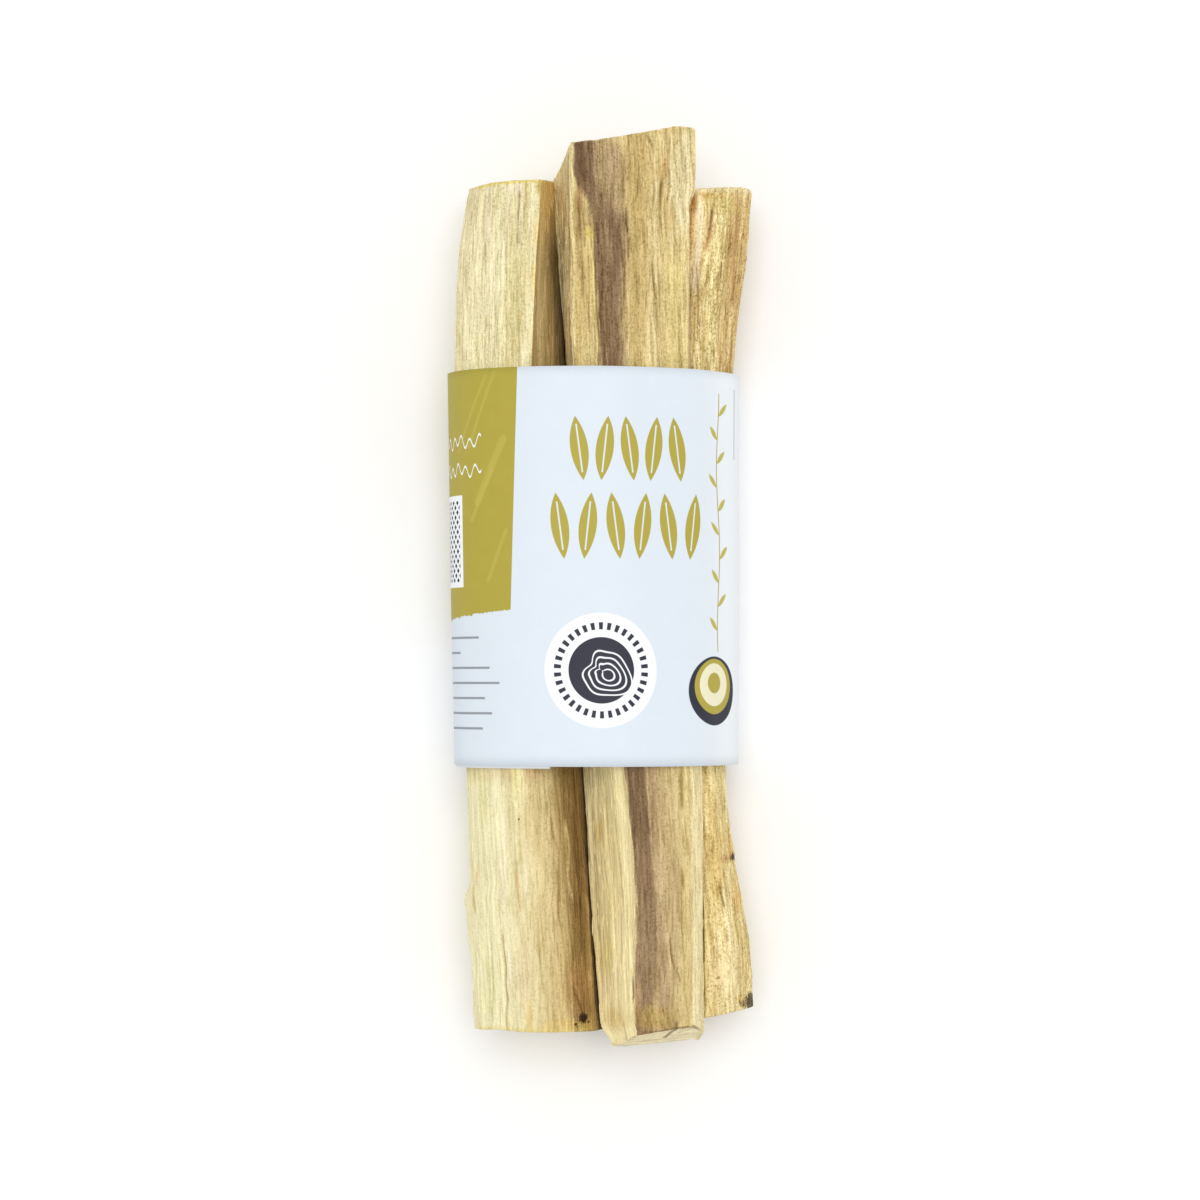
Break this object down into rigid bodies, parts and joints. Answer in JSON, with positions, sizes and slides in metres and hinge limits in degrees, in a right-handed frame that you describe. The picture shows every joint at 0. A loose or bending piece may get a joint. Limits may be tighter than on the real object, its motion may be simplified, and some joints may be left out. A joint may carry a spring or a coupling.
{
  "type": "bundle of palo santo sticks",
  "caption": "Split palo santo wood sticks of uneven section with slanted saw-cut ends, lying on their back and held together by one wide printed paper band.",
  "frame": {"origin": "middle of the bundle's footprint, on the surface that it lies on", "axes": "+Y along the grain, towards the end where the middle stick stands out most; +Z up, out of the side with the printed front; +X to the right as seen from above with +Y up"},
  "size_m": [0.0352, 0.1046, 0.02],
  "materials": {
    "pale_wood": "raw split wood, matt, pale cream with a darker ochre side",
    "streaked_wood": "raw split wood, matt, tan with a grey-brown heartwood streak",
    "golden_wood": "raw split wood, matt, golden with darker grooves and knots",
    "printed_paper": null
  },
  "bodies": {
    "root": {"stick_left": "pale_wood", "stick_middle": "streaked_wood", "stick_right": "golden_wood", "paper_band": "printed_paper"}
  },
  "joints": []
}
